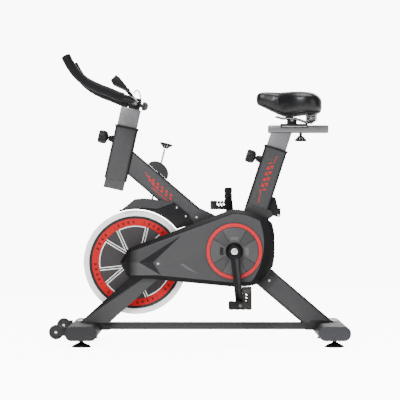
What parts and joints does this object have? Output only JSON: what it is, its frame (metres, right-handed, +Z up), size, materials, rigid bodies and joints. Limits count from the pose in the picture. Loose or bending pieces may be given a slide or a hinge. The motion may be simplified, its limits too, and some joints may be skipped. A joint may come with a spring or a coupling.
{
  "type": "exercise bike",
  "caption": "Indoor cycling bike with a front flywheel, belt drive in a moulded cover, push brake, height-adjustable handlebar and saddle, on two floor stabilizers.",
  "frame": {"origin": "on the floor under the middle of the bike's bounding box", "axes": "-X towards the flywheel and handlebar (the rider faces -X), +Y to the rider's right, +Z up"},
  "size_m": [0.976, 0.48, 0.952],
  "materials": {
    "frame_paint": "satin dark grey powder coat",
    "silver_paint": "satin silver-grey coat",
    "dark_steel": "blackened steel",
    "crank_black": "gloss black paint on forged steel",
    "chrome": "bright chrome plate",
    "flywheel_iron": "painted web with a bright plated rim",
    "cover_plastic": "fine-grain moulded plastic",
    "black_plastic": "semi-gloss moulded plastic",
    "red_plastic": "gloss red",
    "rubber": "matte rubber",
    "grip_foam": "closed-cell foam",
    "saddle_vinyl": "gloss vinyl over foam",
    "felt": "pressed wool felt"
  },
  "bodies": {
    "frame": {"main_beam": "frame_paint", "head_sleeve": "frame_paint", "seat_tube": "frame_paint", "head_bushing": "black_plastic", "seat_bushing": "black_plastic", "fork_leg_left": "frame_paint", "fork_leg_right": "frame_paint", "bottom_rail": "frame_paint", "bottom_bracket_shell": "dark_steel", "front_stabilizer": "frame_paint", "rear_stabilizer": "frame_paint", "wheel_bracket_left": "black_plastic", "wheel_bracket_right": "black_plastic", "cover_left": "cover_plastic", "cover_right": "cover_plastic", "crank_disc_left": "cover_plastic", "crank_disc_right": "cover_plastic", "fender_top": "cover_plastic", "fender_guard": "black_plastic", "accessory_bracket": "black_plastic", "brake_housing": "cover_plastic", "drive_belt": "rubber"},
    "handlebar_set": {"handlebar_post": "silver_paint", "bar_clamp": "black_plastic", "handlebar": "dark_steel", "grip_left": "grip_foam", "grip_right": "grip_foam", "console": "black_plastic", "console_cable": "rubber"},
    "clamp_knob": {"clamp_knob": "black_plastic"},
    "console_button": {"console_button": "red_plastic"},
    "seat_post_set": {"seat_post": "silver_paint", "seat_slider": "silver_paint"},
    "slider_knob": {"slider_knob": "black_plastic"},
    "saddle_set": {"saddle_carriage": "black_plastic", "saddle_rails": "chrome", "saddle_spring_left": "chrome", "saddle_spring_right": "chrome", "saddle": "saddle_vinyl"},
    "head_pin_knob": {"head_pin_knob": "black_plastic"},
    "seat_pin_knob": {"seat_pin_knob": "black_plastic"},
    "flywheel_set": {"flywheel": "flywheel_iron", "flywheel_axle": "dark_steel"},
    "crank_set": {"crank_axle": "dark_steel", "crank_pulley": "black_plastic", "crank_left": "crank_black", "crank_right": "crank_black"},
    "pedal_set_left": {"pedal_left": "black_plastic", "toe_strap_left": "black_plastic"},
    "pedal_set_right": {"pedal_right": "black_plastic", "toe_strap_right": "black_plastic"},
    "brake_plunger": {"brake_rod": "chrome", "brake_shoe": "felt"},
    "brake_knob": {"brake_knob": "black_plastic"},
    "transport_wheel_left": {"transport_wheel_left": "rubber"},
    "transport_wheel_right": {"transport_wheel_right": "rubber"},
    "foot_front_left": {"foot_front_left": "rubber"},
    "foot_front_right": {"foot_front_right": "rubber"},
    "foot_rear_left": {"foot_rear_left": "rubber"},
    "foot_rear_right": {"foot_rear_right": "rubber"}
  },
  "joints": [
    {"name": "handlebar_height", "type": "slide", "parent": "frame", "child": "handlebar_set", "axis": [0.2164, 0, 0.9763], "range_m": [-0.045, 0.1]},
    {"name": "seat_height", "type": "slide", "parent": "frame", "child": "seat_post_set", "axis": [0.309, 0, 0.9511], "range_m": [-0.025, 0.1]},
    {"name": "saddle_fore_aft", "type": "slide", "parent": "seat_post_set", "child": "saddle_set", "axis": [1, 0, 0], "range_m": [-0.04, 0.04]},
    {"name": "head_pin_pull", "type": "slide", "parent": "frame", "child": "head_pin_knob", "axis": [-0.9763, 0, 0.2164], "range_m": [0, 0.01], "stiffness_N_per_m": 600, "springref_m": -0.004},
    {"name": "seat_pin_pull", "type": "slide", "parent": "frame", "child": "seat_pin_knob", "axis": [-0.9511, 0, 0.309], "range_m": [0, 0.01], "stiffness_N_per_m": 600, "springref_m": -0.004},
    {"name": "clamp_knob_turn", "type": "hinge", "parent": "handlebar_set", "child": "clamp_knob", "pos_m": [-0.1974, 0, 0.7898], "axis": [0.9763, 0, -0.2164], "range_deg": [-360, 360]},
    {"name": "slider_knob_turn", "type": "hinge", "parent": "seat_post_set", "child": "slider_knob", "pos_m": [0.3355, 0, 0.684], "axis": [0, 0, 1], "range_deg": [-360, 360]},
    {"name": "console_button_press", "type": "slide", "parent": "handlebar_set", "child": "console_button", "axis": [-0.7682, 0, -0.6402], "range_m": [0, 0.001], "stiffness_N_per_m": 400, "springref_m": -0.0005},
    {"name": "flywheel_spin", "type": "hinge", "parent": "frame", "child": "flywheel_set", "pos_m": [-0.2147, 0, 0.268], "axis": [0, 1, 0], "continuous": true},
    {"name": "crank_spin", "type": "hinge", "parent": "frame", "child": "crank_set", "pos_m": [0.1132, 0, 0.306], "axis": [0, 1, 0], "continuous": true},
    {"name": "pedal_left_spin", "type": "hinge", "parent": "crank_set", "child": "pedal_set_left", "pos_m": [0.13028, -0.151, 0.13184], "axis": [0, 1, 0], "continuous": true},
    {"name": "pedal_right_spin", "type": "hinge", "parent": "crank_set", "child": "pedal_set_right", "pos_m": [0.09612, 0.151, 0.48017], "axis": [0, 1, 0], "continuous": true},
    {"name": "brake_push", "type": "slide", "parent": "frame", "child": "brake_plunger", "axis": [-0.2419, 0, -0.9703], "range_m": [0, 0.003], "stiffness_N_per_m": 3000, "springref_m": -0.003},
    {"name": "resistance_turn", "type": "hinge", "parent": "brake_plunger", "child": "brake_knob", "pos_m": [-0.1175, 0, 0.645], "axis": [0.2419, 0, 0.9703], "range_deg": [-360, 360]},
    {"name": "transport_wheel_left_spin", "type": "hinge", "parent": "frame", "child": "transport_wheel_left", "pos_m": [-0.466, -0.18, 0.047], "axis": [0, 1, 0], "continuous": true},
    {"name": "transport_wheel_right_spin", "type": "hinge", "parent": "frame", "child": "transport_wheel_right", "pos_m": [-0.466, 0.18, 0.047], "axis": [0, 1, 0], "continuous": true},
    {"name": "foot_front_left_turn", "type": "hinge", "parent": "frame", "child": "foot_front_left", "pos_m": [-0.383, -0.205, 0], "axis": [0, 0, 1], "range_deg": [-360, 360]},
    {"name": "foot_front_right_turn", "type": "hinge", "parent": "frame", "child": "foot_front_right", "pos_m": [-0.383, 0.205, 0], "axis": [0, 0, 1], "range_deg": [-360, 360]},
    {"name": "foot_rear_left_turn", "type": "hinge", "parent": "frame", "child": "foot_rear_left", "pos_m": [0.434, -0.205, 0], "axis": [0, 0, 1], "range_deg": [-360, 360]},
    {"name": "foot_rear_right_turn", "type": "hinge", "parent": "frame", "child": "foot_rear_right", "pos_m": [0.434, 0.205, 0], "axis": [0, 0, 1], "range_deg": [-360, 360]}
  ],
  "couplings": [
    {"joint": "crank_spin", "follows": "flywheel_spin", "ratio": 0.25}
  ]
}
